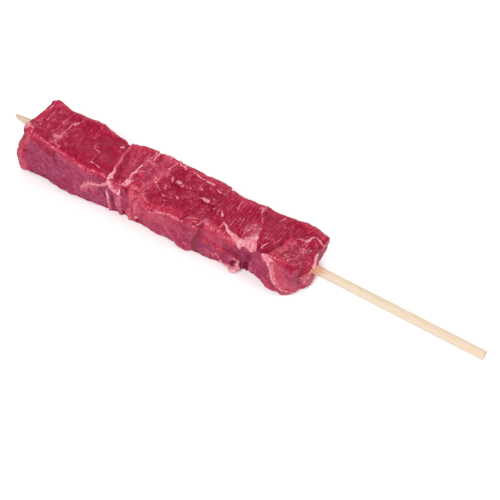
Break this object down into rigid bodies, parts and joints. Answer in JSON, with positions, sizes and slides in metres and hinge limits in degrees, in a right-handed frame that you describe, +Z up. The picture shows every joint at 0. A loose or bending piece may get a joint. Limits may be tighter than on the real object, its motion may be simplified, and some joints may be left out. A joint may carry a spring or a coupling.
{
  "type": "raw lamb kebab skewer",
  "caption": "Raw lamb kebab: cubes and slices of red meat with thin seams of fat, pushed close together along one end of a round wooden skewer.",
  "frame": {"origin": "under the middle of the kebab's box, on the table that the meat lies on", "axes": "+X along the skewer from its point to its blunt end, +Z up, +Y towards the back of the meat"},
  "size_m": [0.25, 0.0346, 0.0306],
  "materials": {
    "raw_lamb": "moist raw meat, crimson cut faces with fine grain, pinker sides, pale fat and membrane",
    "pale_wood": "bare, smooth, fine straight grain"
  },
  "bodies": {
    "root": {"skewer": "pale_wood", "lamb_1": "raw_lamb", "lamb_2": "raw_lamb", "lamb_3": "raw_lamb", "lamb_4": "raw_lamb", "lamb_5": "raw_lamb", "lamb_6": "raw_lamb"}
  },
  "joints": []
}
